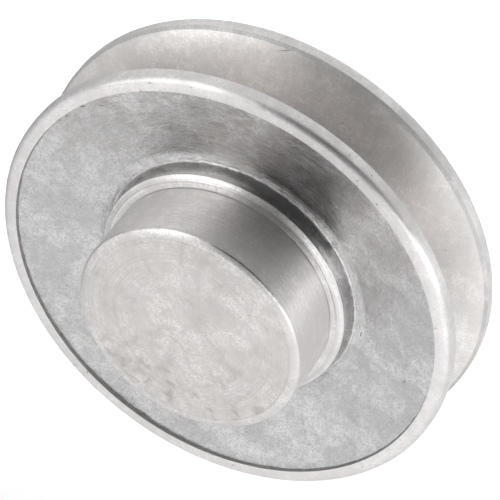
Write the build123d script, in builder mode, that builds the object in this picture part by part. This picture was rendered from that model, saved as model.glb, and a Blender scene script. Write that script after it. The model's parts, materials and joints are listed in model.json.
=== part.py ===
"""Closed-hub V-belt pulley, section A, 80 mm outside diameter, running on two sealed ball bearings.

One aluminium casting carries the rim, the web and the hub. The hub is closed at the front. Its blind bore
opens at the back and holds two 12 x 28 x 8 deep-groove ball bearings on a stub axle, whose hexagon collar and
M10 stud fasten the pulley to a bracket.

Frame: millimetres, +Z up, the pulley spins about Y, and the origin is the centre of the belt groove.
The closed hub points to -Y and the stud to +Y.
"""

import os
from math import cos, pi, radians, sin, tan

from build123d import *

# --- Rim and belt groove ---------------------------------------------------------------------------------
OUTSIDE_R = 40.0
GROOVE_TOP_WIDTH = 11.9  # across the groove's straight walls, carried on to the outside diameter
GROOVE_ANGLE = 34.0
GROOVE_DEPTH = 13.75
GROOVE_BOTTOM_ROUND = 0.8
GROOVE_LIP_BEVEL = 0.5  # 45 degrees
RIM_EDGE_Y = 8.8  # where the rim face would meet the outside diameter if the corner were sharp
RIM_EDGE_ROUND = 1.0
RIM_FACE_Y = 9.0  # inner edge of the turned rim face, the widest place of the rim
RIM_FACE_INNER_R = 37.5

# --- Cast web, dished on both sides -----------------------------------------------------------------------
WEB_STEP = 0.7  # the cast web lies this much below the turned rim face
WEB_STEP_DRAFT = 0.15
BOSS_ROOT_R = 22.0
BOSS_ROOT_Y = 5.57

# --- Hub: cast foot, turned shoulder, turned and faced nose -----------------------------------------------
BOSS_TOP_R = 21.58
BOSS_TOP_Y = 8.43
SHOULDER_MID_R = 20.6
SHOULDER_MID_Y = 8.85
HUB_R = 19.5
HUB_ROOT_Y = 9.1
HUB_FACE_Y = 20.7
HUB_CROWN_R = 18.5  # outside this the face falls away
HUB_CROWN_SLOPE = 15.0
HUB_CROWN_ROUND = 4.5
HUB_CHAMFER = 0.3
HUB_CHAMFER_ROUND = 0.2
BACK_BOSS_TOP_R = 21.5
BACK_BOSS_CHAMFER = 0.4

# --- Bearings, 12 x 28 x 8 --------------------------------------------------------------------------------
BEARING_BORE_R = 6.0
BEARING_OUTER_R = 14.0
BEARING_WIDTH = 8.0
RING_ROUND = 0.3
PITCH_R = 10.0
BALL_R = 4.762 / 2
BALL_COUNT = 8
RACE_R = 2.45
RACE_CLEARANCE = 0.01
INNER_SHOULDER_R = 8.6
OUTER_SHOULDER_R = 11.9
SEAL_GROOVE_R = 12.6
SEAL_GROOVE_MOUTH_R = 12.3
SEAL_GROOVE_START = 2.95  # distances from the bearing's mid plane
SEAL_GROOVE_END = 3.65
SEAL_LAND_R = 8.1
SEAL_LAND_START = 2.9
SEAL_INNER_R = 8.2
SEAL_OUTER_R = 12.55
SEAL_LIP_R = 12.2
SEAL_START = 3.0
SEAL_BEAD_END = 3.6
SEAL_END = 3.8
SEAL_RIB_R = 9.0
SEAL_DISH = 0.15
CAGE_INNER_R = 9.1
CAGE_OUTER_R = 10.9
CAGE_THICKNESS = 0.4
CAGE_BALL_GAP = 0.08
RIVET_R = 0.35
RIVET_HEAD_R = 0.6
RIVET_HEAD_HEIGHT = 0.3

# --- Stack in the hub bore ----------------------------------------------------------------------------------
FIT_GAP = 0.01  # drawn between pieces that are pressed or slid together
SEAT_SHOULDER_Y = -12.9  # the front bearing's outer ring stops here
SPACER_LENGTH = 3.5
CAVITY_R = 12.0
CAVITY_FLOOR_Y = -16.6
CAVITY_ROUND = 0.8
BORE_CHAMFER = 0.4
FRONT_BEARING_Y = SEAT_SHOULDER_Y + BEARING_WIDTH / 2
REAR_BEARING_Y = FRONT_BEARING_Y + BEARING_WIDTH + SPACER_LENGTH
STACK_BACK_Y = REAR_BEARING_Y + BEARING_WIDTH / 2
INNER_SPACER_OUTER_R = 8.3
OUTER_SPACER_INNER_R = 12.3
SPACER_CHAMFER = 0.2

# --- Retaining rings ----------------------------------------------------------------------------------------
BORE_CLIP_THICKNESS = 1.2
BORE_CLIP_GROOVE_WIDTH = 1.3
BORE_CLIP_GROOVE_R = 14.7
BORE_CLIP_INNER_R = 12.4
BORE_CLIP_OFFSET = 0.5  # the inside circle is off centre, so the ring thins towards its gap
BORE_CLIP_GAP_DEG = 40.0
BORE_CLIP_LUG_R = 1.9
BORE_CLIP_LUG_AT_R = 11.9
BORE_CLIP_LUG_DEG = 12.0
BORE_CLIP_HOLE_R = 0.85
AXLE_CLIP_THICKNESS = 1.0
AXLE_CLIP_GROOVE_WIDTH = 1.1
AXLE_CLIP_GROOVE_R = 5.75
AXLE_CLIP_OUTER_R = 7.4
AXLE_CLIP_OFFSET = 0.3
AXLE_CLIP_GAP_DEG = 44.0
AXLE_CLIP_LUG_R = 1.35
AXLE_CLIP_LUG_AT_R = 7.6
AXLE_CLIP_LUG_DEG = 14.0
AXLE_CLIP_HOLE_R = 0.6

# --- Stub axle ----------------------------------------------------------------------------------------------
AXLE_TIP_Y = -15.2
AXLE_TIP_CHAMFER = 0.5
COLLAR_R = 8.25
COLLAR_END_Y = 9.6
HEX_ACROSS_FLATS = 19.0
HEX_END_Y = 14.6
HEX_CORNER_DEG = 30.0
HEX_CHAMFER_START_R = HEX_ACROSS_FLATS / 2 - 0.2
STUD_R = 5.0  # M10 thread's outside radius
STUD_END_Y = 32.6
STUD_CHAMFER = 1.0

PARTS_FOLDER = "parts"


def half_groove_width(radius):
    """Half the belt groove's width at a radius."""
    return GROOVE_TOP_WIDTH / 2 - (OUTSIDE_R - radius) * tan(radians(GROOVE_ANGLE / 2))


def save(part, label):
    """Labels a finished piece and writes its STEP file."""
    part.label = label
    export_step(part, f"{PARTS_FOLDER}/{label}.step")


def make_pulley_body():
    """The casting: rim with its V groove, dished web, closed hub and the stepped blind bore at the back."""
    groove_bottom_r = OUTSIDE_R - GROOVE_DEPTH
    groove_bottom_y = half_groove_width(groove_bottom_r)
    lip_r = OUTSIDE_R - GROOVE_LIP_BEVEL
    lip_y = half_groove_width(lip_r)
    hub_corner_r = HUB_R - HUB_CHAMFER
    hub_corner_y = HUB_FACE_Y - (hub_corner_r - HUB_CROWN_R) * tan(radians(HUB_CROWN_SLOPE))
    web_outer_r = RIM_FACE_INNER_R - WEB_STEP_DRAFT
    web_outer_y = RIM_FACE_Y - WEB_STEP
    clip_groove_end_y = STACK_BACK_Y + BORE_CLIP_GROOVE_WIDTH
    bore_r = BEARING_OUTER_R + FIT_GAP
    with BuildPart() as body:
        with BuildSketch(Plane.XY):
            with BuildLine():
                FilletPolyline(
                    (0, -HUB_FACE_Y),
                    (HUB_CROWN_R, -HUB_FACE_Y),
                    (hub_corner_r, -hub_corner_y),
                    (HUB_R, -hub_corner_y + HUB_CHAMFER),
                    (HUB_R, -HUB_ROOT_Y),
                    radius=[HUB_CROWN_ROUND, HUB_CHAMFER_ROUND, HUB_CHAMFER_ROUND],
                )
                Polyline(
                    (HUB_R, -HUB_ROOT_Y),
                    (SHOULDER_MID_R, -SHOULDER_MID_Y),
                    (BOSS_TOP_R, -BOSS_TOP_Y),
                    (BOSS_ROOT_R, -BOSS_ROOT_Y),
                    (web_outer_r, -web_outer_y),
                    (RIM_FACE_INNER_R, -RIM_FACE_Y),
                )
                FilletPolyline(
                    (RIM_FACE_INNER_R, -RIM_FACE_Y),
                    (OUTSIDE_R, -RIM_EDGE_Y),
                    (OUTSIDE_R, -lip_y - GROOVE_LIP_BEVEL),
                    radius=RIM_EDGE_ROUND,
                )
                Line((OUTSIDE_R, -lip_y - GROOVE_LIP_BEVEL), (lip_r, -lip_y))
                FilletPolyline(
                    (lip_r, -lip_y),
                    (groove_bottom_r, -groove_bottom_y),
                    (groove_bottom_r, groove_bottom_y),
                    (lip_r, lip_y),
                    radius=GROOVE_BOTTOM_ROUND,
                )
                Line((lip_r, lip_y), (OUTSIDE_R, lip_y + GROOVE_LIP_BEVEL))
                FilletPolyline(
                    (OUTSIDE_R, lip_y + GROOVE_LIP_BEVEL),
                    (OUTSIDE_R, RIM_EDGE_Y),
                    (RIM_FACE_INNER_R, RIM_FACE_Y),
                    radius=RIM_EDGE_ROUND,
                )
                Polyline(
                    (RIM_FACE_INNER_R, RIM_FACE_Y),
                    (web_outer_r, web_outer_y),
                    (BOSS_ROOT_R, BOSS_ROOT_Y),
                    (BACK_BOSS_TOP_R, RIM_FACE_Y - BACK_BOSS_CHAMFER),
                    (BACK_BOSS_TOP_R - BACK_BOSS_CHAMFER, RIM_FACE_Y),
                    (bore_r + BORE_CHAMFER, RIM_FACE_Y),
                    (bore_r, RIM_FACE_Y - BORE_CHAMFER),
                    (bore_r, clip_groove_end_y),
                    (BORE_CLIP_GROOVE_R, clip_groove_end_y),
                    (BORE_CLIP_GROOVE_R, STACK_BACK_Y),
                    (bore_r, STACK_BACK_Y),
                    (bore_r, SEAT_SHOULDER_Y),
                    (CAVITY_R, SEAT_SHOULDER_Y),
                )
                FilletPolyline(
                    (CAVITY_R, SEAT_SHOULDER_Y),
                    (CAVITY_R, CAVITY_FLOOR_Y),
                    (0, CAVITY_FLOOR_Y),
                    radius=CAVITY_ROUND,
                )
                Line((0, CAVITY_FLOOR_Y), (0, -HUB_FACE_Y))
            make_face()
        revolve(axis=Axis.Y)
    return body.part


def make_outer_ring(middle_y):
    """A bearing's outer ring: raceway inside, and a seal groove near each face."""
    half = BEARING_WIDTH / 2
    race_bottom_r = PITCH_R + BALL_R + RACE_CLEARANCE
    with BuildPart() as ring:
        with BuildSketch(Plane.XY):
            with BuildLine():
                Polyline(
                    (SEAL_GROOVE_MOUTH_R, middle_y - half),
                    (BEARING_OUTER_R - RING_ROUND, middle_y - half),
                    (BEARING_OUTER_R, middle_y - half + RING_ROUND),
                    (BEARING_OUTER_R, middle_y + half - RING_ROUND),
                    (BEARING_OUTER_R - RING_ROUND, middle_y + half),
                    (SEAL_GROOVE_MOUTH_R, middle_y + half),
                    (SEAL_GROOVE_MOUTH_R, middle_y + SEAL_GROOVE_END),
                    (SEAL_GROOVE_R, middle_y + SEAL_GROOVE_END),
                    (SEAL_GROOVE_R, middle_y + SEAL_GROOVE_START),
                    (OUTER_SHOULDER_R, middle_y + SEAL_GROOVE_START),
                    (OUTER_SHOULDER_R, middle_y - SEAL_GROOVE_START),
                    (SEAL_GROOVE_R, middle_y - SEAL_GROOVE_START),
                    (SEAL_GROOVE_R, middle_y - SEAL_GROOVE_END),
                    (SEAL_GROOVE_MOUTH_R, middle_y - SEAL_GROOVE_END),
                    close=True,
                )
            make_face()
            with Locations((race_bottom_r - RACE_R, middle_y)):
                Circle(RACE_R, mode=Mode.SUBTRACT)
        revolve(axis=Axis.Y)
    return ring.part


def make_inner_ring(middle_y):
    """A bearing's inner ring: raceway outside, and a lower land under each seal's lip."""
    half = BEARING_WIDTH / 2
    race_bottom_r = PITCH_R - BALL_R - RACE_CLEARANCE
    with BuildPart() as ring:
        with BuildSketch(Plane.XY):
            with BuildLine():
                Polyline(
                    (BEARING_BORE_R + RING_ROUND, middle_y - half),
                    (SEAL_LAND_R, middle_y - half),
                    (SEAL_LAND_R, middle_y - SEAL_LAND_START),
                    (INNER_SHOULDER_R, middle_y - SEAL_LAND_START),
                    (INNER_SHOULDER_R, middle_y + SEAL_LAND_START),
                    (SEAL_LAND_R, middle_y + SEAL_LAND_START),
                    (SEAL_LAND_R, middle_y + half),
                    (BEARING_BORE_R + RING_ROUND, middle_y + half),
                    (BEARING_BORE_R, middle_y + half - RING_ROUND),
                    (BEARING_BORE_R, middle_y - half + RING_ROUND),
                    close=True,
                )
            make_face()
            with Locations((race_bottom_r + RACE_R, middle_y)):
                Circle(RACE_R, mode=Mode.SUBTRACT)
        revolve(axis=Axis.Y)
    return ring.part


def make_seal(middle_y, side):
    """A rubber-covered seal: its bead snaps into the outer ring, its lip runs on the inner ring's land."""

    def at(radius, distance):
        return (radius, middle_y + side * distance)

    with BuildPart() as seal:
        with BuildSketch(Plane.XY):
            with BuildLine():
                Polyline(
                    at(SEAL_INNER_R, SEAL_START),
                    at(SEAL_OUTER_R, SEAL_START),
                    at(SEAL_OUTER_R, SEAL_BEAD_END),
                    at(SEAL_LIP_R, SEAL_BEAD_END),
                    at(SEAL_LIP_R, SEAL_END),
                    at(SEAL_LIP_R - SEAL_DISH, SEAL_END),
                    at(SEAL_LIP_R - 2 * SEAL_DISH, SEAL_END - SEAL_DISH),
                    at(SEAL_RIB_R + SEAL_DISH, SEAL_END - SEAL_DISH),
                    at(SEAL_RIB_R, SEAL_END),
                    at(SEAL_INNER_R, SEAL_END),
                    close=True,
                )
            make_face()
        revolve(axis=Axis.Y)
    return seal.part


def ball_centre(index, middle_y):
    """Where ball number index sits: the first is at the top, and the rest follow at equal angles."""
    angle = 2 * pi * index / BALL_COUNT
    return (PITCH_R * sin(angle), middle_y, PITCH_R * cos(angle))


def rivet_centre(index, middle_y):
    """Half way between ball number index and the next one."""
    return ball_centre(index + 0.5, middle_y)


def make_ball(index, middle_y):
    """One bearing ball."""
    with BuildPart() as ball:
        with Locations(ball_centre(index, middle_y)):
            Sphere(BALL_R)
    return ball.part


def make_cage_half(middle_y, side):
    """One pressed half of a ribbon cage: a flat ring that bulges out over each ball."""
    pocket_r = BALL_R + CAGE_BALL_GAP
    bulge_r = pocket_r + CAGE_THICKNESS
    middle = Plane(origin=(0, middle_y, 0), z_dir=(0, side, 0))
    balls = [Location(ball_centre(index, middle_y), (90, 0, 0)) for index in range(BALL_COUNT)]
    rivets = [Location(rivet_centre(index, middle_y), (90, 0, 0)) for index in range(BALL_COUNT)]
    with BuildPart() as cage:
        with Locations(balls):
            Sphere(bulge_r)
        with BuildSketch(middle):
            Circle(CAGE_OUTER_R)
            Circle(CAGE_INNER_R, mode=Mode.SUBTRACT)
        extrude(amount=2 * bulge_r, mode=Mode.INTERSECT)
        with BuildSketch(middle):
            Circle(CAGE_OUTER_R)
            Circle(CAGE_INNER_R, mode=Mode.SUBTRACT)
        extrude(amount=CAGE_THICKNESS)
        with Locations(balls):
            Sphere(pocket_r, mode=Mode.SUBTRACT)
        with Locations(rivets):
            Cylinder(RIVET_R + FIT_GAP, 4 * CAGE_THICKNESS, mode=Mode.SUBTRACT)
    return cage.part


def make_cage_rivets(middle_y):
    """The rivets that join a cage's halves, each with a flat head at both ends."""
    head_y = CAGE_THICKNESS + FIT_GAP
    with BuildPart() as rivets:
        for index in range(BALL_COUNT):
            x, _, z = rivet_centre(index, middle_y)
            with BuildSketch(Plane(origin=(x, middle_y - head_y, z), z_dir=(0, 1, 0))):
                Circle(RIVET_R)
            extrude(amount=2 * head_y)
            for side in (-1, 1):
                with BuildSketch(Plane(origin=(x, middle_y + side * head_y, z), z_dir=(0, side, 0))):
                    Circle(RIVET_HEAD_R)
                extrude(amount=RIVET_HEAD_HEIGHT)
    return rivets.part


def make_spacer(inner_r, outer_r):
    """A plain ring between the two bearings."""
    start_y = FRONT_BEARING_Y + BEARING_WIDTH / 2
    with BuildPart() as spacer:
        with BuildSketch(Plane(origin=(0, start_y, 0), z_dir=(0, 1, 0))):
            Circle(outer_r)
            Circle(inner_r, mode=Mode.SUBTRACT)
        extrude(amount=SPACER_LENGTH)
        chamfer(spacer.edges().filter_by(GeomType.CIRCLE), SPACER_CHAMFER)
    return spacer.part


def clip_plane(start_y):
    """Plane of a retaining ring: its local x points up, so the gap between the lugs is at the top."""
    return Plane(origin=(0, start_y, 0), x_dir=(0, 0, 1), z_dir=(0, 1, 0))


def cut_gap(reach, gap_deg):
    """Takes the wedge between a retaining ring's lugs out of the sketch in hand."""
    edge = radians(gap_deg / 2)
    Polygon(
        (0, 0),
        (reach * cos(edge), reach * sin(edge)),
        (reach, 0),
        (reach * cos(edge), -reach * sin(edge)),
        align=None,
        mode=Mode.SUBTRACT,
    )


def lug_places(at_r, gap_deg, lug_deg):
    """Centres of a retaining ring's two lugs, just outside its gap."""
    angle = radians(gap_deg / 2 + lug_deg / 2)
    return [(at_r * cos(angle), side * at_r * sin(angle)) for side in (-1, 1)]


def make_bore_clip():
    """Internal retaining ring behind the rear bearing's outer ring."""
    lugs = lug_places(BORE_CLIP_LUG_AT_R, BORE_CLIP_GAP_DEG, BORE_CLIP_LUG_DEG)
    with BuildPart() as clip:
        with BuildSketch(clip_plane(STACK_BACK_Y + FIT_GAP)):
            Circle(BORE_CLIP_GROOVE_R - 2 * FIT_GAP)
            with Locations((BORE_CLIP_OFFSET, 0)):
                Circle(BORE_CLIP_INNER_R, mode=Mode.SUBTRACT)
            cut_gap(2 * BORE_CLIP_GROOVE_R, BORE_CLIP_GAP_DEG)
            with Locations(lugs):
                Circle(BORE_CLIP_LUG_R)
                Circle(BORE_CLIP_HOLE_R, mode=Mode.SUBTRACT)
        extrude(amount=BORE_CLIP_THICKNESS)
    return clip.part


def make_axle_clip():
    """External retaining ring in front of the front bearing's inner ring."""
    lugs = lug_places(AXLE_CLIP_LUG_AT_R, AXLE_CLIP_GAP_DEG, AXLE_CLIP_LUG_DEG)
    with BuildPart() as clip:
        with BuildSketch(clip_plane(SEAT_SHOULDER_Y - FIT_GAP - AXLE_CLIP_THICKNESS)):
            with Locations((-AXLE_CLIP_OFFSET, 0)):
                Circle(AXLE_CLIP_OUTER_R)
            with Locations(lugs):
                Circle(AXLE_CLIP_LUG_R)
            Circle(AXLE_CLIP_GROOVE_R + FIT_GAP, mode=Mode.SUBTRACT)
            with Locations(lugs):
                Circle(AXLE_CLIP_HOLE_R, mode=Mode.SUBTRACT)
            cut_gap(2 * AXLE_CLIP_OUTER_R, AXLE_CLIP_GAP_DEG - AXLE_CLIP_LUG_DEG)
        extrude(amount=AXLE_CLIP_THICKNESS)
    return clip.part


def make_stub_axle():
    """Journal for the inner rings, collar, hexagon to hold it by, and the M10 stud."""
    journal_r = BEARING_BORE_R - FIT_GAP
    groove_start_y = SEAT_SHOULDER_Y - AXLE_CLIP_GROOVE_WIDTH
    hex_corner_r = HEX_ACROSS_FLATS / 2 / cos(radians(30))
    corner_drop = (hex_corner_r - HEX_CHAMFER_START_R) * tan(radians(HEX_CORNER_DEG))
    with BuildPart() as axle:
        with BuildSketch(Plane(origin=(0, COLLAR_END_Y, 0), z_dir=(0, 1, 0))):
            RegularPolygon(HEX_ACROSS_FLATS / 2, 6, major_radius=False)
        extrude(amount=HEX_END_Y - COLLAR_END_Y)
        with BuildSketch(Plane.XY):
            with BuildLine():
                Polyline(
                    (0, COLLAR_END_Y),
                    (HEX_CHAMFER_START_R, COLLAR_END_Y),
                    (hex_corner_r, COLLAR_END_Y + corner_drop),
                    (hex_corner_r, HEX_END_Y - corner_drop),
                    (HEX_CHAMFER_START_R, HEX_END_Y),
                    (0, HEX_END_Y),
                    close=True,
                )
            make_face()
        revolve(axis=Axis.Y, mode=Mode.INTERSECT)
        with BuildSketch(Plane.XY):
            with BuildLine():
                Polyline(
                    (0, AXLE_TIP_Y),
                    (journal_r - AXLE_TIP_CHAMFER, AXLE_TIP_Y),
                    (journal_r, AXLE_TIP_Y + AXLE_TIP_CHAMFER),
                    (journal_r, groove_start_y),
                    (AXLE_CLIP_GROOVE_R, groove_start_y),
                    (AXLE_CLIP_GROOVE_R, SEAT_SHOULDER_Y),
                    (journal_r, SEAT_SHOULDER_Y),
                    (journal_r, STACK_BACK_Y),
                    (COLLAR_R, STACK_BACK_Y),
                    (COLLAR_R, COLLAR_END_Y),
                    (STUD_R, HEX_END_Y),
                    (STUD_R, STUD_END_Y - STUD_CHAMFER),
                    (STUD_R - STUD_CHAMFER, STUD_END_Y),
                    (0, STUD_END_Y),
                    close=True,
                )
            make_face()
        revolve(axis=Axis.Y)
    return axle.part


def make_bearing(name, middle_y):
    """Writes every piece of one sealed deep-groove ball bearing."""
    save(make_outer_ring(middle_y), f"{name}_outer_ring")
    save(make_inner_ring(middle_y), f"{name}_inner_ring")
    for index in range(BALL_COUNT):
        save(make_ball(index, middle_y), f"{name}_ball_{index + 1}")
    for side, place in ((-1, "front"), (1, "rear")):
        save(make_cage_half(middle_y, side), f"{name}_cage_{place}")
        save(make_seal(middle_y, side), f"{name}_seal_{place}")
    save(make_cage_rivets(middle_y), f"{name}_cage_rivets")


os.makedirs(PARTS_FOLDER, exist_ok=True)
save(make_pulley_body(), "pulley_body")
make_bearing("front_bearing", FRONT_BEARING_Y)
make_bearing("rear_bearing", REAR_BEARING_Y)
save(make_spacer(BEARING_BORE_R, INNER_SPACER_OUTER_R), "inner_spacer_sleeve")
save(make_spacer(OUTER_SPACER_INNER_R, BEARING_OUTER_R), "outer_spacer_ring")
save(make_bore_clip(), "bore_circlip")
save(make_axle_clip(), "axle_circlip")
save(make_stub_axle(), "stub_axle")
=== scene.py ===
"""Looks of the closed-hub V-belt pulley, in metres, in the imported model's frame.

The casting and the stub axle are redrawn as fine lathe meshes, with the burrs, steps and thread that the CAD
leaves out. Every other node keeps its CAD mesh and gets a material. The pulley spins about Y, its closed hub
points to -Y, and +Z is up. The studio is a pale floor in a white tent, with two softboxes, two gridded lights
over the floor, and two grey cards that darken a few reflections.
"""

import json
import math
from collections import namedtuple

import bpy
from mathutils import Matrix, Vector, noise


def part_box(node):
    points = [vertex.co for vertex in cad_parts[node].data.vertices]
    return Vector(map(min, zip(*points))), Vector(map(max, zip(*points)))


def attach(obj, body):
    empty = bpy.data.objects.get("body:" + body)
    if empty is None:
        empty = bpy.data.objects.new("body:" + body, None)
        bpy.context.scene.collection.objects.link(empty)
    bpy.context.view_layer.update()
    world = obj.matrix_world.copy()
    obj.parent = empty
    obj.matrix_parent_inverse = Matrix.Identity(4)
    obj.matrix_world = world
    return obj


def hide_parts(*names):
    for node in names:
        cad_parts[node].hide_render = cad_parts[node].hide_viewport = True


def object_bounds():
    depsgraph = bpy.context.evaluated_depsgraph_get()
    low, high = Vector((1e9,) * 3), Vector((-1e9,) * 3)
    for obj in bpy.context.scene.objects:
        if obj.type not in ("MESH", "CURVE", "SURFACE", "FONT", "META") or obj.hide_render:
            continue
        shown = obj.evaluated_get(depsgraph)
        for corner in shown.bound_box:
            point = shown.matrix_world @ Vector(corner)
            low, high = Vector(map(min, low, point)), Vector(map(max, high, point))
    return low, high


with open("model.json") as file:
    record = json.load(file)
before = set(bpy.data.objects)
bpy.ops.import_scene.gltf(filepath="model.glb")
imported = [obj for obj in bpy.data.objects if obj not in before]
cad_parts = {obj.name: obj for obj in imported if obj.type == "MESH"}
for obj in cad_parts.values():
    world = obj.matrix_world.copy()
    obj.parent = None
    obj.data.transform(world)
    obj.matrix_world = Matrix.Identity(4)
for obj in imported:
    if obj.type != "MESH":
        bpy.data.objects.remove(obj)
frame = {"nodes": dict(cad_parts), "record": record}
cad_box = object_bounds()

MM = 0.001

# --- The casting's outline: radii and distances along Y, in millimetres ----------------------------------
casting_low, casting_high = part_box("pulley_body")
OUTSIDE_R = casting_high.x / MM
HUB_FACE_Y = casting_low.y / MM
RIM_FACE_Y = casting_high.y / MM
RIM_FACE_INNER_R = 37.5
RIM_EDGE_ROUND = 1.0
RIM_EDGE_DROP = 0.2  # how far the rim face falls away towards its outer edge
GROOVE_HALF_WIDTH = 5.95  # of its straight walls, carried on to the outside diameter
GROOVE_DEPTH = 13.75
GROOVE_HALF_ANGLE = math.radians(17)
GROOVE_LIP_BEVEL = 0.5
GROOVE_BOTTOM_ROUND = 0.8
WEB_STEP = 0.7
WEB_STEP_DRAFT = 0.15
BOSS_ROOT_R = 22.0
BOSS_ROOT_Y = 5.57
BOSS_TOP_R = 21.58
BOSS_TOP_Y = 8.43
BURR_HEIGHT = 0.09
SHOULDER_MID_R = 20.6
SHOULDER_MID_Y = 8.85
HUB_R = 19.5
HUB_ROOT_Y = 9.1
HUB_UNDERCUT = 0.11
HUB_CROWN_R = 18.45
HUB_CROWN_DROP = 0.27
HUB_CHAMFER = 0.22
BACK_BOSS_R = 21.5
BACK_BOSS_CHAMFER = 0.35
BORE_R = 14.01
BORE_CHAMFER = 0.4
CLIP_GROOVE_R = 14.7
CLIP_GROOVE_START_Y = 6.6
CLIP_GROOVE_END_Y = 7.9
BEARING_SEAT_Y = -12.9
CAVITY_R = 12.0
CAVITY_FLOOR_Y = -16.6
CAVITY_ROUND = 0.8
CASTING_SEGMENTS = 540

# --- The stub axle, in millimetres -------------------------------------------------------------------------
axle_low, axle_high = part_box("stub_axle")
AXLE_TIP_Y = axle_low.y / MM
STUD_END_Y = axle_high.y / MM
HEX_HALF_FLATS = axle_high.x / MM
JOURNAL_R = 5.99
AXLE_CLIP_GROOVE_R = 5.75
AXLE_CLIP_GROOVE_START_Y = -14.0
STACK_BACK_Y = 6.6
COLLAR_R = 8.25
COLLAR_END_Y = 9.6
HEX_END_Y = 14.6
HEX_CHAMFER_START_R = HEX_HALF_FLATS - 0.2
HEX_CHAMFER_SLOPE = math.tan(math.radians(30))
STUD_R = 5.0
THREAD_ROOT_R = 4.1
THREAD_PITCH = 1.5
THREAD_START_Y = 15.9
STUD_CHAMFER = 1.0
CENTRE_HOLE_R = 1.3
CENTRE_PILOT_R = 0.35
JOURNAL_CHAMFER = 0.5
AXLE_SEGMENTS = 192

# --- The camera and the studio -----------------------------------------------------------------------------
CAMERA_AZIMUTH = math.radians(26.3)
CAMERA_ELEVATION = math.radians(40.07)
CAMERA_DISTANCE = 0.6374  # from the middle of the rim's front edge
CAMERA_LENS = 286.2
AIM_RIGHT = 0.00436  # where the camera aims, beside the middle of the rim's front edge
AIM_UP = 0.00555
TENT_FRONT = 0.5
TENT_BACK = 0.85
FLOOR_GLOW = 0.27
FLOOR_LEVEL = cad_box[0].z - 0.10
FLOOR_SIZE = 6.0
OPENING_AZIMUTH = 32  # the middle of the tent's dark opening, in degrees
OPENING_ELEVATION = 36
OPENING_START = math.radians(60)  # how far from its middle it starts, and where it is fully dark
OPENING_FULL = math.radians(22)
OPENING_GLOW = 0.12
GRID_SPREAD = 50  # the beam of the two gridded lights, in degrees


# === Meshes ================================================================================================
# A corner of an outline. The zone and the spacing of points belong to the stretch that leads to the next one.
Corner = namedtuple("Corner", "r y zone step round", defaults=(0.0,))
Point = namedtuple("Point", "r y zone")
ROUND_STEPS = 5
SMALL_ROUND = 0.3  # the largest radius, in millimetres, that SMALL_ROUND_STEPS are enough for
SMALL_ROUND_STEPS = 3
SHARP_ANGLE = math.radians(32)


def rounded_corner(before, corner, after):
    """The points of a corner of an outline: one, or an arc that meets both of its stretches smoothly."""
    here = Vector((corner.r, corner.y))
    if corner.round == 0:
        return [here]
    back = (Vector((before.r, before.y)) - here).normalized()
    ahead = (Vector((after.r, after.y)) - here).normalized()
    half = back.angle(ahead) / 2
    centre = here + (back + ahead).normalized() * corner.round / math.sin(half)
    start = here + back * corner.round / math.tan(half) - centre
    end = here + ahead * corner.round / math.tan(half) - centre
    steps = SMALL_ROUND_STEPS if corner.round <= SMALL_ROUND else ROUND_STEPS
    return [centre + start.slerp(end, k / steps) * corner.round for k in range(steps + 1)]


def trace(corners):
    """Points along an open outline, no further apart than each stretch's step."""
    points = []
    for index, corner in enumerate(corners):
        before = corners[max(index - 1, 0)]
        after = corners[min(index + 1, len(corners) - 1)]
        here = rounded_corner(before, corner, after)
        if points:
            start = Vector((points[-1].r, points[-1].y))
            pieces = max(1, math.ceil((here[0] - start).length / before.step))
            for k in range(1, pieces):
                place = start.lerp(here[0], k / pieces)
                points.append(Point(place.x, place.y, before.zone))
        points += [Point(place.x, place.y, corner.zone) for place in here]
    return points


def lathe(name, corners, segments, materials, shape=None):
    """A solid of revolution about Y. shape moves a point: it takes (point, angle) and returns (radius, y)."""
    points = trace(corners)
    vertices = []
    rings = []
    for point in points:
        count = 1 if point.r == 0 else segments
        rings.append([len(vertices) + k for k in range(count)])
        for k in range(count):
            angle = 2 * math.pi * k / segments
            radius, y = shape(point, angle) if shape else (point.r, point.y)
            vertices.append((radius * MM * math.sin(angle), y * MM, radius * MM * math.cos(angle)))
    faces = []
    zones = []
    for point, ring, following in zip(points, rings, rings[1:]):
        for k in range(segments):
            after = (k + 1) % segments
            if len(ring) == 1:
                faces.append((ring[0], following[k], following[after]))
            elif len(following) == 1:
                faces.append((ring[k], following[0], ring[after]))
            else:
                faces.append((ring[k], following[k], following[after], ring[after]))
            zones.append(point.zone)
    mesh = bpy.data.meshes.new(name)
    mesh.from_pydata(vertices, [], faces)
    slots = list(materials)
    for zone in slots:
        mesh.materials.append(materials[zone])
    mesh.polygons.foreach_set("material_index", [slots.index(zone) for zone in zones])
    mesh.polygons.foreach_set("use_smooth", [True] * len(faces))
    mesh.set_sharp_from_angle(angle=SHARP_ANGLE)
    mesh.validate()
    made = bpy.data.objects.new(name, mesh)
    bpy.context.scene.collection.objects.link(made)
    return made


# === Materials =============================================================================================
TURNED = (0.93, 0.905, 0.90, 1.0)
TURNED_DULL = (0.75, 0.73, 0.725, 1.0)
GROOVE = (0.965, 0.942, 0.93, 1.0)
GROOVE_DULL = (0.76, 0.737, 0.725, 1.0)
RIM_EDGE = (0.92, 0.90, 0.90, 1.0)
RIM_EDGE_DULL = (0.72, 0.705, 0.70, 1.0)
LIP = (0.80, 0.78, 0.78, 1.0)
LIP_DULL = (0.60, 0.585, 0.585, 1.0)
SHOULDER_BRIGHT = (0.98, 0.96, 0.945, 1.0)
HUB_TURNED = (0.90, 0.875, 0.87, 1.0)
HUB_DULL = (0.70, 0.68, 0.675, 1.0)
FACED = (0.88, 0.85, 0.84, 1.0)
FACED_DULL = (0.64, 0.62, 0.61, 1.0)
SKIN_PALE = (0.80, 0.795, 0.795, 1.0)
SKIN_GREY = (0.63, 0.625, 0.627, 1.0)
SKIN_DARK = (0.43, 0.425, 0.428, 1.0)
# Darker tones of the torn cuts: partly their own dull finish, partly painted shade in the hub root's
# undercut, on the boss side and on the step wall.
TORN_AND_SHADE = (0.56, 0.555, 0.55, 1.0)
TORN_DARK_AND_SHADE = (0.40, 0.395, 0.39, 1.0)
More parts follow.
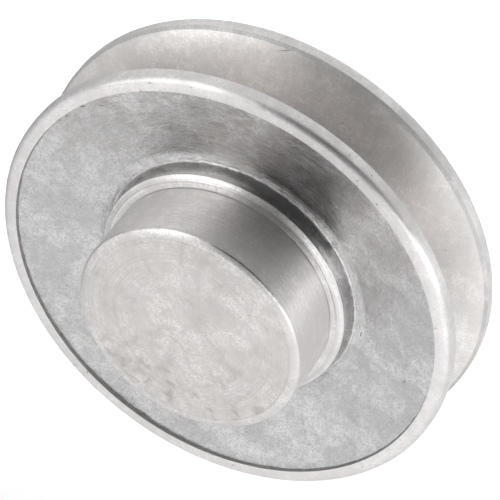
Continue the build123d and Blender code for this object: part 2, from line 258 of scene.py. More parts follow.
# A dark brownish tone: real stains and smudges on the hub face, and painted shade high up on the web.
STAIN_AND_SHADE = (0.40, 0.375, 0.355, 1.0)
DIRT = (0.12, 0.115, 0.11, 1.0)
PLATED = (0.66, 0.66, 0.64, 1.0)
PLATED_DULL = (0.50, 0.50, 0.485, 1.0)
SPACER = (0.55, 0.55, 0.56, 1.0)
SPACER_DULL = (0.42, 0.42, 0.43, 1.0)
GROUND = (0.63, 0.63, 0.64, 1.0)
GROUND_DULL = (0.52, 0.52, 0.53, 1.0)
POLISHED = (0.70, 0.70, 0.71, 1.0)
POLISHED_DULL = (0.64, 0.64, 0.65, 1.0)
PRESSED = (0.55, 0.55, 0.55, 1.0)
PRESSED_DULL = (0.44, 0.44, 0.44, 1.0)
PHOSPHATE = (0.075, 0.075, 0.078, 1.0)
PHOSPHATE_DARK = (0.035, 0.035, 0.037, 1.0)
PHOSPHATE_RUBBED = (0.30, 0.30, 0.31, 1.0)
RUBBER = (0.012, 0.012, 0.013, 1.0)
RUBBER_BLOOM = (0.032, 0.032, 0.034, 1.0)
WHITE = (1.0, 1.0, 1.0, 1.0)
# Small dents and scratches on the web: x, z, length, width, in millimetres, and slope in degrees.
SKIN_MARKS = (
    (-13.3, 19.2, 1.5, 0.16, 125),
    (-15.9, 17.5, 1.2, 0.16, 132),
    (-21.4, 28.8, 0.9, 0.22, 10),
    (-24.6, 27.7, 1.4, 0.3, 25),
    (-27.6, 24.7, 0.8, 0.25, 48),
    (31.9, -8.8, 0.5, 0.3, 60),
    (26.9, 2.6, 0.4, 0.3, 0),
    (23.4, -3.4, 1.6, 0.2, 75),
)
# One long scratch high on the groove's walls, given in the same way.
GROOVE_MARKS = ((4.3, 38.98, 4.4, 0.13, 18),)
SKIN_LIP_START = 0.0205  # where the skin's raised lip round the boss starts and ends, as radii in metres
SKIN_LIP_END = 0.0244


class Graph:
    """One material's shader nodes, with short names for the ones used here."""

    def __init__(self, name):
        self.material = bpy.data.materials.new(name)
        self.material.use_nodes = True
        self.nodes = self.material.node_tree.nodes
        self.shader = self.nodes["Principled BSDF"]
        self.place = self.add("ShaderNodeTexCoord").outputs["Object"]

    def add(self, kind, **settings):
        node = self.nodes.new(kind)
        for key, value in settings.items():
            setattr(node, key, value)
        return node

    def feed(self, socket, value):
        """Links a socket to another node's output, or sets it to a number or colour."""
        if isinstance(value, bpy.types.NodeSocket):
            self.material.node_tree.links.new(value, socket)
        else:
            socket.default_value = value

    def maths(self, operation, first, second=0.0, third=0.0):
        node = self.add("ShaderNodeMath", operation=operation)
        for socket, value in zip(node.inputs, (first, second, third)):
            self.feed(socket, value)
        return node.outputs[0]

    def noise(self, place, scale, detail=2.0, roughness=0.5, distortion=0.0):
        node = self.add("ShaderNodeTexNoise")
        for key, value in (("Vector", place), ("Scale", scale), ("Detail", detail),
                           ("Roughness", roughness), ("Distortion", distortion)):
            self.feed(node.inputs[key], value)
        return node.outputs["Fac"]

    def ramp(self, value, low, high, to_low=0.0, to_high=1.0):
        """Maps low..high smoothly to to_low..to_high, and holds it there outside."""
        node = self.add("ShaderNodeMapRange", interpolation_type="SMOOTHSTEP")
        for socket, number in zip(node.inputs, (value, low, high, to_low, to_high)):
            self.feed(socket, number)
        return node.outputs[0]

    def mix(self, share, first, second):
        node = self.add("ShaderNodeMix", data_type="RGBA")
        self.feed(node.inputs["Factor"], share)
        self.feed(node.inputs[6], first)
        self.feed(node.inputs[7], second)
        return node.outputs[2]

    def bump(self, height, distance, below=None):
        """Adds relief of that height in metres, on top of the normal given in below."""
        node = self.add("ShaderNodeBump")
        self.feed(node.inputs["Height"], height)
        node.inputs["Distance"].default_value = distance
        if below is not None:
            self.feed(node.inputs["Normal"], below)
        return node.outputs["Normal"]

    def radius(self):
        """Distance from the pulley's axis."""
        x, _, z = self.split()
        squares = self.maths("ADD", self.maths("MULTIPLY", x, x), self.maths("MULTIPLY", z, z))
        return self.maths("SQRT", squares)

    def split(self):
        """The place's x, y and z."""
        node = self.add("ShaderNodeSeparateXYZ")
        self.feed(node.inputs[0], self.place)
        return node.outputs

    def across(self, along, over):
        """A place whose last number runs across the turning marks: it changes slowly round the axis."""
        x, y, z = self.split()
        join = self.add("ShaderNodeCombineXYZ")
        self.feed(join.inputs[0], self.maths("MULTIPLY", x, along))
        self.feed(join.inputs[1], self.maths("MULTIPLY", z, along))
        self.feed(join.inputs[2], self.maths("MULTIPLY", self.maths("SUBTRACT", self.radius(), y), over))
        return join.outputs[0]

    def scratch(self, x, z, length, width, degrees):
        """1 along a short mark at that place across the axis, in millimetres, and 0 elsewhere."""
        offset = self.add("ShaderNodeVectorMath", operation="SUBTRACT")
        self.feed(offset.inputs[0], self.place)
        offset.inputs[1].default_value = (x * MM, 0.0, z * MM)
        turn = math.radians(degrees)
        share = []
        for direction, size in (((math.cos(turn), 0.0, math.sin(turn)), length),
                                ((-math.sin(turn), 0.0, math.cos(turn)), width)):
            dot = self.add("ShaderNodeVectorMath", operation="DOT_PRODUCT")
            self.feed(dot.inputs[0], offset.outputs[0])
            dot.inputs[1].default_value = direction
            share.append(self.maths("POWER", self.maths("DIVIDE", dot.outputs["Value"], size / 2 * MM), 2.0))
        return self.ramp(self.maths("ADD", share[0], share[1]), 0.3, 1.0, 1.0, 0.0)

    def marked(self, colour, marks, dark):
        """The colour with scratches drawn over it."""
        for mark in marks:
            colour = self.mix(self.maths("MULTIPLY", self.scratch(*mark), 0.85), colour, dark)
        return colour


def turned_metal(name, tone, stain, rough, streaks=0.3, anisotropy=0.85, stained=0.0, ridges=1.0, marks=()):
    """Lathe-turned metal: rings round the axis, faint clouds, a fine grain, a few pits and some stains.

    streaks sets how clear the broad rings are, and ridges how deep the fine ones. Where stained isn't 0, fine
    rings show only towards two opposite edges, and there are smudges, and blots on the lower part.
    """
    g = Graph(name)
    rings = g.noise(g.across(6.0, 3000.0), 1.0, 2.0, 0.6)
    bands = g.noise(g.across(4.0, 1500.0), 1.0, 3.0, 0.65)
    clouds = g.noise(g.place, 130.0, 4.0, 0.6, 0.6)
    mottle = g.noise(g.place, 750.0, 3.0, 0.6, 0.4)
    grain = g.noise(g.place, 2600.0, 3.0, 0.65)
    pits = g.ramp(g.noise(g.place, 1500.0, 1.0), 0.775, 0.80)
    clouded = g.mix(g.ramp(clouds, 0.38, 0.66, 0.0, 0.7), tone, stain)
    mottled = g.mix(g.ramp(mottle, 0.38, 0.66, 0.0, 0.7), clouded, stain)
    grained = g.mix(g.ramp(grain, 0.40, 0.65, 0.0, 0.8), mottled, stain)
    outward = g.ramp(g.radius(), 0.006, 0.014)
    bands = g.maths("MULTIPLY", bands, outward)
    streaked = g.mix(g.ramp(bands, 0.45, 0.68, 0.0, streaks), grained, stain)
    shown = g.ramp(g.noise(g.place, 75.0, 2.0), 0.45, 0.62, streaks * 0.3, min(1.0, streaks * 2.5))
    shown = g.maths("MULTIPLY", shown, outward)
    if stained:
        x, _, z = g.split()
        slant = g.maths("SUBTRACT", g.maths("MULTIPLY", x, 0.82), g.maths("MULTIPLY", z, 0.57))
        shown = g.ramp(g.maths("ABSOLUTE", slant), 0.006, 0.012)
    lined = g.mix(g.maths("MULTIPLY", g.ramp(rings, 0.40, 0.66), shown), streaked, stain)
    if stained:
        blots = g.ramp(g.noise(g.place, 430.0, 4.0, 0.6, 0.4), 0.47, 0.72)
        low = g.ramp(g.split()[2], 0.004, -0.018)
        lined = g.mix(g.maths("MULTIPLY", g.maths("MULTIPLY", blots, low), stained), lined, STAIN_AND_SHADE)
        smudges = g.ramp(g.noise(g.place, 190.0, 5.0, 0.62, 0.6), 0.50, 0.72, 0.0, 0.5 * stained)
        lined = g.mix(smudges, lined, STAIN_AND_SHADE)
    pitted = g.mix(g.maths("MULTIPLY", pits, 0.6), lined, DIRT)
    g.feed(g.shader.inputs["Base Color"], g.marked(pitted, marks, DIRT))
    g.shader.inputs["Metallic"].default_value = 1.0
    spread = g.maths("ADD", g.ramp(clouds, 0.3, 0.7, rough - 0.04, rough + 0.06),
                     g.ramp(bands, 0.3, 0.7, -0.15 * streaks, 0.15 * streaks))
    g.feed(g.shader.inputs["Roughness"], spread)
    g.shader.inputs["Anisotropic"].default_value = anisotropy
    g.shader.inputs["Anisotropic Rotation"].default_value = 0.25
    turning = g.add("ShaderNodeTangent", direction_type="RADIAL", axis="Y")
    g.feed(g.shader.inputs["Tangent"], turning.outputs[0])
    normal = g.bump(bands, 0.0001 * streaks)
    normal = g.bump(g.maths("MULTIPLY", rings, shown), 0.00006 * ridges, normal)
    normal = g.bump(mottle, 0.00003, normal)
    normal = g.bump(grain, 0.00003, normal)
    normal = g.bump(g.maths("SUBTRACT", 1.0, pits), 0.00002, normal)
    g.feed(g.shader.inputs["Normal"], normal)
    return g.material


def cast_skin(name):
    """As-cast aluminium: neutral grey with faint angular patches and specks, and high up wiping streaks in a
    dark tone that is partly painted shade.
    """
    g = Graph(name)
    warp = g.add("ShaderNodeTexNoise")
    g.feed(warp.inputs["Vector"], g.place)
    warp.inputs["Scale"].default_value = 160.0
    warp.inputs["Detail"].default_value = 2.0
    shift = g.add("ShaderNodeVectorMath", operation="MULTIPLY_ADD")
    g.feed(shift.inputs[0], warp.outputs["Color"])
    shift.inputs[1].default_value = (0.006, 0.006, 0.006)
    g.feed(shift.inputs[2], g.place)
    cells = g.add("ShaderNodeTexVoronoi")
    g.feed(cells.inputs["Vector"], shift.outputs[0])
    cells.inputs["Scale"].default_value = 230.0
    patches = g.noise(shift.outputs[0], 150.0, 3.0, 0.55)
    clouds = g.noise(g.place, 210.0, 4.0, 0.6, 0.8)
    mottle = g.noise(g.place, 620.0, 5.0, 0.65, 0.6)
    wiping = g.noise(g.across(260.0, 1000.0), 1.0, 5.0, 0.65, 1.2)
    grain = g.noise(g.place, 3000.0, 3.0, 0.6)
    specks = g.ramp(g.noise(g.place, 1300.0, 2.0), 0.72, 0.78)
    tones = g.mix(g.ramp(patches, 0.41, 0.59), SKIN_GREY, SKIN_PALE)
    tones = g.mix(g.maths("MULTIPLY", cells.outputs["Color"], 0.34), tones, SKIN_DARK)
    mottled = g.mix(g.ramp(mottle, 0.38, 0.70, 0.0, 0.5), tones, SKIN_DARK)
    grained = g.mix(g.ramp(grain, 0.40, 0.68, 0.0, 0.65), mottled, SKIN_DARK)
    # Painted shade: the upper part of the web is darkened in the stain tone along the wiping streaks, partly
    # real wipe marks and partly the hub's dark reflection painted in.
    high = g.ramp(g.split()[2], 0.014, 0.027)
    wipes_and_shade = g.maths("MULTIPLY", g.ramp(wiping, 0.40, 0.60, 0.15, 0.8), g.ramp(clouds, 0.42, 0.58, 0.3, 1.0))
    wiped_and_shaded = g.mix(g.maths("MULTIPLY", wipes_and_shade, high), grained, STAIN_AND_SHADE)
    specked = g.mix(g.maths("MULTIPLY", specks, 0.5), wiped_and_shaded, DIRT)
    g.feed(g.shader.inputs["Base Color"], g.marked(specked, SKIN_MARKS, DIRT))
    g.shader.inputs["Metallic"].default_value = 1.0
    g.feed(g.shader.inputs["Roughness"], g.ramp(patches, 0.35, 0.65, 0.21, 0.29))
    lip = g.ramp(g.radius(), SKIN_LIP_START, SKIN_LIP_END, 1.0, 0.0)
    feathered = g.maths("MULTIPLY", lip, g.ramp(wiping, 0.30, 0.62, 0.9, 1.0))
    normal = g.bump(feathered, 0.0011)
    normal = g.bump(patches, 0.00006, normal)
    normal = g.bump(wiping, 0.00006, normal)
    normal = g.bump(mottle, 0.00006, normal)
    normal = g.bump(grain, 0.00003, normal)
    g.feed(g.shader.inputs["Normal"], normal)
    return g.material


def torn_metal(name, tone, stain, rough):
    """Metal cut with a blunt tool, with fine slanting tears."""
    g = Graph(name)
    tears = g.noise(g.across(900.0, 2600.0), 1.0, 3.0, 0.65)
    grain = g.noise(g.place, 2600.0, 3.0, 0.6)
    tones = g.mix(g.ramp(tears, 0.40, 0.70, 0.0, 0.6), tone, stain)
    g.feed(g.shader.inputs["Base Color"], g.mix(g.ramp(grain, 0.4, 0.7, 0.0, 0.5), tones, stain))
    g.shader.inputs["Metallic"].default_value = 1.0
    g.feed(g.shader.inputs["Roughness"], g.ramp(grain, 0.3, 0.7, rough - 0.03, rough + 0.04))
    g.feed(g.shader.inputs["Normal"], g.bump(tears, 0.00001))
    return g.material


def plated_steel(name, tone, stain, rough):
    """Turned steel with a thin bright plating: faint rings, dull patches and handling marks."""
    g = Graph(name)
    rings = g.noise(g.across(50.0, 7000.0), 1.0, 3.0, 0.6)
    patches = g.noise(g.place, 420.0, 5.0, 0.6, 0.6)
    grain = g.noise(g.place, 5200.0, 2.0)
    tones = g.mix(g.ramp(patches, 0.38, 0.68), tone, stain)
    g.feed(g.shader.inputs["Base Color"], g.mix(g.ramp(rings, 0.4, 0.7, 0.0, 0.3), tones, stain))
    g.shader.inputs["Metallic"].default_value = 1.0
    g.feed(g.shader.inputs["Roughness"], g.ramp(patches, 0.3, 0.7, rough - 0.05, rough + 0.1))
    normal = g.bump(rings, 0.000012)
    g.feed(g.shader.inputs["Normal"], g.bump(grain, 0.000006, normal))
    return g.material


def phosphated_steel(name):
    """Spring steel with a dark, fine-grained, lightly oiled coating, rubbed brighter in places."""
    g = Graph(name)
    grain = g.noise(g.place, 6000.0, 3.0)
    rubbed = g.ramp(g.noise(g.place, 700.0, 4.0, 0.6), 0.55, 0.72)
    tones = g.mix(g.ramp(grain, 0.35, 0.65), PHOSPHATE_DARK, PHOSPHATE)
    g.feed(g.shader.inputs["Base Color"], g.mix(g.maths("MULTIPLY", rubbed, 0.6), tones, PHOSPHATE_RUBBED))
    g.shader.inputs["Metallic"].default_value = 0.75
    g.feed(g.shader.inputs["Roughness"], g.ramp(grain, 0.3, 0.7, 0.34, 0.5))
    g.feed(g.shader.inputs["Normal"], g.bump(grain, 0.00001))
    return g.material


def seal_rubber(name):
    """Moulded black rubber: a matt bloom over a fine, slightly pebbled skin, with rings from the mould."""
    g = Graph(name)
    bloom = g.noise(g.place, 350.0, 4.0, 0.6, 0.5)
    pebble = g.noise(g.place, 5200.0, 2.0)
    rings = g.noise(g.across(40.0, 5200.0), 1.0, 2.0)
    g.feed(g.shader.inputs["Base Color"], g.mix(g.ramp(bloom, 0.35, 0.7), RUBBER, RUBBER_BLOOM))
    g.feed(g.shader.inputs["Roughness"], g.ramp(bloom, 0.3, 0.7, 0.42, 0.62))
    normal = g.bump(rings, 0.00002)
    g.feed(g.shader.inputs["Normal"], g.bump(pebble, 0.00001, normal))
    return g.material


# === The casting ===========================================================================================
def casting_outline():
    """From the middle of the closed hub's face, over the rim and the back, down the bore to its floor."""
    groove_bottom_r = OUTSIDE_R - GROOVE_DEPTH
    groove_bottom_y = GROOVE_HALF_WIDTH - GROOVE_DEPTH * math.tan(GROOVE_HALF_ANGLE)
    lip_r = OUTSIDE_R - GROOVE_LIP_BEVEL
    lip_y = GROOVE_HALF_WIDTH - GROOVE_LIP_BEVEL * math.tan(GROOVE_HALF_ANGLE)
    web_outer_r = RIM_FACE_INNER_R - WEB_STEP_DRAFT
    web_outer_y = RIM_FACE_Y - WEB_STEP
    rim_outer_y = RIM_FACE_Y - RIM_EDGE_DROP
    return [
        Corner(0, HUB_FACE_Y, "hub_face", 4.0),
        Corner(HUB_CROWN_R, HUB_FACE_Y, "crown", 1.0, 2.6),
        Corner(HUB_R - HUB_CHAMFER, HUB_FACE_Y + HUB_CROWN_DROP, "crown", 1.0, 0.25),
        Corner(HUB_R, HUB_FACE_Y + HUB_CROWN_DROP + HUB_CHAMFER, "hub_side", 2.5, 0.1),
        Corner(HUB_R, -HUB_ROOT_Y - 0.40, "root", 1.0),
        Corner(HUB_R - HUB_UNDERCUT, -HUB_ROOT_Y - 0.22, "root", 1.0),
        Corner(HUB_R - 0.02, -HUB_ROOT_Y + 0.04, "shoulder", 1.0, 0.04),
        Corner(SHOULDER_MID_R - 0.08, -SHOULDER_MID_Y - 0.04, "shoulder", 1.0),
        Corner(SHOULDER_MID_R, -SHOULDER_MID_Y + 0.05, "shoulder", 0.3),
        Corner(BOSS_TOP_R, -BOSS_TOP_Y, "boss_side", 0.6, 0.12),
        Corner(BOSS_ROOT_R - 0.05, -BOSS_ROOT_Y + 0.02, "burr", 0.1),
        Corner(BOSS_ROOT_R + 0.08, -BOSS_ROOT_Y - 0.06, "burr", 0.15),
        Corner(BOSS_ROOT_R + 0.2, -BOSS_ROOT_Y - 0.03, "web", 0.7),
        Corner(web_outer_r, -web_outer_y, "step", 0.4),
        Corner(RIM_FACE_INNER_R, -RIM_FACE_Y + 0.03, "rim_face", 1.0, 0.05),
        Corner(OUTSIDE_R, -rim_outer_y, "rim_edge", 1.0, RIM_EDGE_ROUND),
        Corner(OUTSIDE_R, -lip_y - GROOVE_LIP_BEVEL, "lip", 1.0, 0.05),
        Corner(lip_r, -lip_y, "groove", 2.0, 0.05),
        Corner(groove_bottom_r, -groove_bottom_y, "groove", 2.0, GROOVE_BOTTOM_ROUND),
        Corner(groove_bottom_r, groove_bottom_y, "groove", 2.0, GROOVE_BOTTOM_ROUND),
        Corner(lip_r, lip_y, "lip", 1.0, 0.05),
        Corner(OUTSIDE_R, lip_y + GROOVE_LIP_BEVEL, "rim_edge", 2.0, 0.05),
        Corner(OUTSIDE_R, rim_outer_y, "rim_face", 1.0, RIM_EDGE_ROUND),
        Corner(RIM_FACE_INNER_R, RIM_FACE_Y - 0.03, "step", 0.4, 0.05),
        Corner(web_outer_r, web_outer_y, "web", 1.6),
        Corner(BOSS_ROOT_R, BOSS_ROOT_Y, "web", 0.8, 0.5),
        Corner(BACK_BOSS_R, RIM_FACE_Y - BACK_BOSS_CHAMFER, "rim_face", 1.0, 0.1),
        Corner(BACK_BOSS_R - BACK_BOSS_CHAMFER, RIM_FACE_Y - 0.02, "rim_face", 3.0, 0.1),
        Corner(BORE_R + BORE_CHAMFER, RIM_FACE_Y - 0.02, "bore", 1.0),
        Corner(BORE_R, RIM_FACE_Y - BORE_CHAMFER, "bore", 2.0),
        Corner(BORE_R, CLIP_GROOVE_END_Y, "bore", 2.0),
        Corner(CLIP_GROOVE_R, CLIP_GROOVE_END_Y, "bore", 2.0),
        Corner(CLIP_GROOVE_R, CLIP_GROOVE_START_Y, "bore", 2.0),
        Corner(BORE_R, CLIP_GROOVE_START_Y, "bore", 20.0),
        Corner(BORE_R, BEARING_SEAT_Y, "bore", 5.0),
        Corner(CAVITY_R, BEARING_SEAT_Y, "bore", 5.0),
        Corner(CAVITY_R, CAVITY_FLOOR_Y, "bore", 20.0, CAVITY_ROUND),
        Corner(0, CAVITY_FLOOR_Y, "bore", 5.0),
    ]


def ragged(angle, radius, size, seed):
    """A jagged number from about -1 to 1 that changes over that many millimetres along a circle."""
    place = Vector((math.sin(angle), math.cos(angle), 0.0)) * radius / size
    return 2.0 * noise.fractal(place + Vector((0.0, 0.0, seed)), 0.7, 2.0, 4)


def shape_casting(point, angle):
    """The unevenness of the cast and torn places. Turned surfaces stay true."""
    radius, y = point.r, point.y
    if point.zone == "web":
        inside = min(1.0, (radius - BOSS_ROOT_R) / 1.5, (RIM_FACE_INNER_R - radius) / 1.0)
        place = Vector((math.sin(angle) * radius, math.cos(angle) * radius, math.copysign(40.0, y)))
        swell = noise.noise(place / 5.0) * 0.05 + noise.noise(place / 1.7) * 0.018
        y += swell * max(inside, 0.25)
    elif point.zone == "burr":
        lift = 0.5 + 0.5 * ragged(angle, radius, 2.6, 3.0) + 0.4 * ragged(angle, radius, 0.8, 9.0)
        y -= min(max(lift, 0.0), 1.2) * BURR_HEIGHT
        radius += ragged(angle, radius, 1.5, 5.0) * 0.05
    elif point.zone == "step":
        radius += ragged(angle, radius, 1.6, 1.0) * 0.05
        y += ragged(angle, radius, 2.0, 2.0) * 0.03 * math.copysign(1.0, -y)
    return radius, y


def make_casting():
    """The pulley's one casting, with a finish for each of its zones."""
    materials = {
        "hub_face": turned_metal("aluminium_hub_face", FACED, FACED_DULL, 0.36,
                                 streaks=0.6, anisotropy=0.5, stained=0.7),
        "crown": turned_metal("aluminium_hub_crown", FACED, FACED_DULL, 0.28, streaks=0.2, anisotropy=0.6),
        "hub_side": turned_metal("aluminium_hub_side", HUB_TURNED, HUB_DULL, 0.42, streaks=0.45),
        # Painted shade: the undercut at the hub root and the boss side get darker torn tones than the turned
        # metal beside them.
        "root": torn_metal("aluminium_hub_root", TORN_AND_SHADE, TORN_DARK_AND_SHADE, 0.3),
        "shoulder": turned_metal("aluminium_shoulder", SHOULDER_BRIGHT, HUB_DULL, 0.36,
                                 streaks=1.0, anisotropy=0.7, ridges=2.5),
        "boss_side": torn_metal("aluminium_boss_side", TORN_AND_SHADE, TORN_DARK_AND_SHADE, 0.18),
        "burr": turned_metal("aluminium_burr", TURNED, TURNED_DULL, 0.42, streaks=0.1, anisotropy=0.0),
        "web": cast_skin("aluminium_cast_skin"),
        # Painted shade: the recessed step wall between rim face and web is given the darkest torn tone.
        "step": torn_metal("aluminium_step", TORN_DARK_AND_SHADE, TORN_AND_SHADE, 0.4),
        "rim_face": turned_metal("aluminium_rim_face", TURNED, TURNED_DULL, 0.36,
                                 streaks=0.2, anisotropy=0.6),
        "rim_edge": turned_metal("aluminium_rim_edge", RIM_EDGE, RIM_EDGE_DULL, 0.36, streaks=0.1),
        "lip": turned_metal("aluminium_groove_lip", LIP, LIP_DULL, 0.55, streaks=0.1, anisotropy=0.3),
        "groove": turned_metal("aluminium_groove", GROOVE, GROOVE_DULL, 0.34,
                               streaks=0.1, marks=GROOVE_MARKS),
        "bore": turned_metal("aluminium_bore", TURNED, TURNED_DULL, 0.34),
    }
    casting = lathe("pulley_casting", casting_outline(), CASTING_SEGMENTS, materials, shape_casting)
    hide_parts("pulley_body")
    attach(casting, "pulley")


# === The stub axle =========================================================================================
def axle_outline():
    """From the journal's tip to the stud's end, with a relief in front of the thread and a centre hole."""
    corner_r = HEX_HALF_FLATS / math.cos(math.radians(30))
    drop = (corner_r - HEX_CHAMFER_START_R) * HEX_CHAMFER_SLOPE
    return [
        Corner(0, AXLE_TIP_Y, "plating", 2.0),
        Corner(JOURNAL_R - JOURNAL_CHAMFER, AXLE_TIP_Y, "plating", 1.0),
        Corner(JOURNAL_R, AXLE_TIP_Y + JOURNAL_CHAMFER, "plating", 1.0),
        Corner(JOURNAL_R, AXLE_CLIP_GROOVE_START_Y, "plating", 1.0),
        Corner(AXLE_CLIP_GROOVE_R, AXLE_CLIP_GROOVE_START_Y, "plating", 1.0),
        Corner(AXLE_CLIP_GROOVE_R, BEARING_SEAT_Y, "plating", 1.0),
        Corner(JOURNAL_R, BEARING_SEAT_Y, "plating", 10.0),
        Corner(JOURNAL_R, STACK_BACK_Y, "plating", 3.0),
        Corner(COLLAR_R, STACK_BACK_Y, "plating", 3.0, 0.15),
        Corner(COLLAR_R, COLLAR_END_Y, "plating", 3.0, 0.15),
        Corner(HEX_CHAMFER_START_R, COLLAR_END_Y, "hexagon", 0.05),
        Corner(corner_r, COLLAR_END_Y + drop, "hexagon", 0.5),
        Corner(corner_r, HEX_END_Y - drop, "hexagon", 0.05),
        Corner(HEX_CHAMFER_START_R, HEX_END_Y, "plating", 1.0),
        Corner(THREAD_ROOT_R, HEX_END_Y, "plating", 1.0, 0.3),
        Corner(THREAD_ROOT_R, THREAD_START_Y, "thread", THREAD_PITCH / 14),
        Corner(THREAD_ROOT_R, STUD_END_Y, "plating", 1.0),
        Corner(CENTRE_HOLE_R, STUD_END_Y, "plating", 1.0),
        Corner(CENTRE_PILOT_R, STUD_END_Y - 1.6, "plating", 1.0),
        Corner(CENTRE_PILOT_R, STUD_END_Y - 2.6, "plating", 1.0),
        Corner(0, STUD_END_Y - 2.8, "plating", 1.0),
    ]


def thread_radius(y, angle):
    """The radius of an M10 thread: flats at crest and root and straight flanks between, along one helix."""
    turn = ((y - THREAD_START_Y) / THREAD_PITCH - angle / (2 * math.pi)) % 1.0
    rise = abs(2 * turn - 1)
    flank = min(1.0, max(0.0, (rise - 0.22) / 0.64))
    crest = min(STUD_R, STUD_R - STUD_CHAMFER + (STUD_END_Y - y), THREAD_ROOT_R + (y - THREAD_START_Y) * 1.2)
    return min(THREAD_ROOT_R + (STUD_R - THREAD_ROOT_R) * flank, max(crest, STUD_R - STUD_CHAMFER))


def shape_axle(point, angle):
    """The hexagon's flats and the thread, cut out of the turned outline."""
    if point.zone == "hexagon" or point.r > HEX_HALF_FLATS:
        sixth = (angle + math.radians(30)) % math.radians(60) - math.radians(30)
        flat = HEX_HALF_FLATS / math.cos(sixth)
        return min(point.r, flat), point.y
    if point.zone == "thread":
        return thread_radius(point.y, angle), point.y
    return point.r, point.y


def make_stub_axle():
    """The stub axle, in one finish."""
    plating = plated_steel("axle_plated_steel", PLATED, PLATED_DULL, 0.3)
    materials = {"plating": plating, "hexagon": plating, "thread": plating}
    axle = lathe("stub_axle_threaded", axle_outline(), AXLE_SEGMENTS, materials, shape_axle)
    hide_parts("stub_axle")
    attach(axle, "axle")


# === The nodes that keep their CAD mesh ====================================================================
def paint_cad_nodes():
    """Gives each remaining node the finish that the record names for it."""
    finishes = {
        "spacer_steel": turned_metal("spacer_turned_steel", SPACER, SPACER_DULL, 0.3),
        "spring_steel": phosphated_steel("circlip_phosphated_steel"),
        "ring_steel": turned_metal("bearing_ground_steel", GROUND, GROUND_DULL, 0.2, streaks=0.1),
        "ball_steel": plated_steel("ball_polished_steel", POLISHED, POLISHED_DULL, 0.1),
        "cage_steel": plated_steel("cage_pressed_steel", PRESSED, PRESSED_DULL, 0.34),
        "seal_rubber": seal_rubber("seal_black_rubber"),
    }
    for entry in frame["record"]["subparts"]:
        slot = entry["material_slot"]
        if slot in finishes:
            frame["nodes"][entry["node"]].material_slots[0].material = finishes[slot]


# === Studio ================================================================================================
def view_directions():
    """The camera's right, up and backward directions."""
    azimuth, elevation = CAMERA_AZIMUTH, CAMERA_ELEVATION
    right = Vector((math.cos(azimuth), math.sin(azimuth), 0.0))
    back = Vector((math.sin(azimuth) * math.cos(elevation), -math.cos(azimuth) * math.cos(elevation),
                   math.sin(elevation)))
    return right, back.cross(right), back


def make_camera():
    """The camera, aimed past the middle of the rim's front edge."""
    right, up, back = view_directions()
    rim_middle = Vector((0.0, -(RIM_FACE_Y - RIM_EDGE_DROP - 0.5) * MM, 0.0))
    data = bpy.data.cameras.new("camera")
    data.lens = CAMERA_LENS
    data.sensor_width = 36.0
    data.clip_start = 0.01
    data.clip_end = 20.0
    camera = bpy.data.objects.new("camera", data)
    camera.rotation_mode = "QUATERNION"
    camera.rotation_quaternion = (-back).to_track_quat("-Z", "Y")
    camera.location = rim_middle + right * AIM_RIGHT + up * AIM_UP + back * CAMERA_DISTANCE
    bpy.context.scene.collection.objects.link(camera)
    bpy.context.scene.camera = camera


def pointing(azimuth, elevation):
    """The direction seen from the pulley at that azimuth, from -Y towards +X, and elevation, in degrees."""
    turn, rise = math.radians(azimuth), math.radians(elevation)
    return Vector((math.sin(turn) * math.cos(rise), -math.cos(turn) * math.cos(rise), math.sin(rise)))


def make_sheet(name, corners, grain_scale, tones, specular, glow):
    """A matt sheet of the studio, between two tones of grey, that also gives off a little light."""
    mesh = bpy.data.meshes.new(name)
    mesh.from_pydata(corners, [], [(0, 1, 2, 3)])
    g = Graph(name)
    grain = g.noise(g.place, grain_scale, 3.0)
    darker, paler = ((tone, tone, tone, 1.0) for tone in tones)
    g.feed(g.shader.inputs["Base Color"], g.mix(grain, darker, paler))
    g.shader.inputs["Roughness"].default_value = 0.9
    g.shader.inputs["Specular IOR Level"].default_value = specular
    g.shader.inputs["Emission Color"].default_value = WHITE
    g.shader.inputs["Emission Strength"].default_value = glow
    mesh.materials.append(g.material)
    sheet = bpy.data.objects.new(name, mesh)
    bpy.context.scene.collection.objects.link(sheet)
    return sheet


def make_floor():
    """A plain white floor, well below the pulley."""
    half = FLOOR_SIZE / 2
    corners = [(-half, -half), (half, -half), (half, half), (-half, half)]
    corners = [(x, y, FLOOR_LEVEL) for x, y in corners]
    floor = make_sheet("floor", corners, 30.0, (0.86, 0.88), 0.1, FLOOR_GLOW)


def make_card(name, middle, half_width, top, glow):
    """A grey card standing on the floor, out of the camera's sight, that darkens its side of the studio."""
    along = Vector((middle.y, -middle.x, 0.0)).normalized() * half_width
    low, high = Vector((0.0, 0.0, FLOOR_LEVEL)), Vector((0.0, 0.0, top))
    corners = [middle - along + low, middle + along + low, middle + along + high, middle - along + high]
    card = make_sheet(name, corners, 60.0, (0.03, 0.04), 0.5, glow)
    card.visible_camera = False


def make_cards():
    """A low card close on the left, and a narrow one in front, between the two softboxes."""
    make_card("left_card", pointing(-98, 0) * 0.2, half_width=0.16, top=0.045, glow=0.42)
    make_card("front_card", pointing(-2, 0) * 0.5, half_width=0.11, top=0.10, glow=0.24)


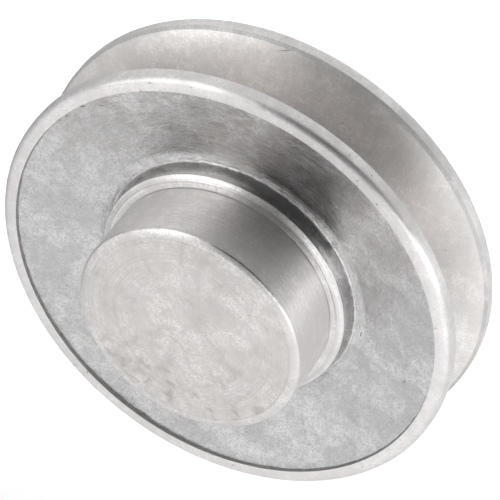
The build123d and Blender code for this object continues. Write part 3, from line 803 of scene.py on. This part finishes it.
def make_world():
    """A white tent all round, brighter at the back, with one soft dark opening behind the camera."""
    world = bpy.data.worlds.new("tent")
    world.use_nodes = True
    bpy.context.scene.world = world
    nodes, links = world.node_tree.nodes, world.node_tree.links
    direction = nodes.new("ShaderNodeTexCoord").outputs["Generated"]
    facing = nodes.new("ShaderNodeVectorMath")
    facing.operation = "DOT_PRODUCT"
    links.new(direction, facing.inputs[0])
    facing.inputs[1].default_value = pointing(OPENING_AZIMUTH, OPENING_ELEVATION)
    opening = nodes.new("ShaderNodeMapRange")
    opening.interpolation_type = "SMOOTHSTEP"
    links.new(facing.outputs["Value"], opening.inputs[0])
    shares = (math.cos(OPENING_START), math.cos(OPENING_FULL), 1.0, OPENING_GLOW)
    for socket, value in zip(opening.inputs[1:5], shares):
        socket.default_value = value
    behind = nodes.new("ShaderNodeVectorMath")
    behind.operation = "DOT_PRODUCT"
    links.new(direction, behind.inputs[0])
    behind.inputs[1].default_value = pointing(180, 30)
    tent = nodes.new("ShaderNodeMapRange")
    links.new(behind.outputs["Value"], tent.inputs[0])
    for socket, value in zip(tent.inputs[1:5], (-1.0, 1.0, TENT_FRONT, TENT_BACK)):
        socket.default_value = value
    strength = nodes.new("ShaderNodeMath")
    strength.operation = "MULTIPLY"
    links.new(tent.outputs[0], strength.inputs[0])
    links.new(opening.outputs[0], strength.inputs[1])
    background = nodes["Background"]
    background.inputs["Color"].default_value = (1.0, 0.995, 0.99, 1.0)
    links.new(strength.outputs[0], background.inputs["Strength"])


def make_softbox(name, place, width, height, brightness, aim=(0, 0, 0), spread=180):
    """A rectangular light at a place, facing another. A grid narrows its beam to spread degrees."""
    data = bpy.data.lights.new(name, "AREA")
    data.shape = "RECTANGLE"
    data.size = width
    data.size_y = height
    data.energy = brightness * math.pi * width * height
    data.spread = math.radians(spread)
    softbox = bpy.data.objects.new(name, data)
    softbox.location = place
    softbox.rotation_mode = "QUATERNION"
    softbox.rotation_quaternion = (Vector(place) - Vector(aim)).to_track_quat("Z", "Y")
    softbox.visible_camera = False
    bpy.context.scene.collection.objects.link(softbox)


def make_lights():
    """A tall softbox on the left, a long low one on the right, and two gridded ones over the floor."""
    make_softbox("left_softbox", pointing(-31, 24), 0.58, 1.15, 1.25)
    make_softbox("right_softbox", 0.8 * pointing(60, 0), 1.7, 0.27, 1.6)
    behind = 0.28 * pointing(-154, 0)
    make_softbox("backdrop_light", behind + Vector((0.0, 0.0, 0.31)), 0.15, 0.15, 4.0, behind, GRID_SPREAD)
    beside = 0.28 * pointing(35, 0)
    make_softbox("floor_light", beside + Vector((0.0, 0.0, 0.36)), 0.2, 0.2, 1.3, beside, GRID_SPREAD)


make_casting()
make_stub_axle()
paint_cad_nodes()
make_floor()
make_cards()
make_world()
make_lights()
make_camera()
bpy.context.scene.view_settings.view_transform = "Standard"
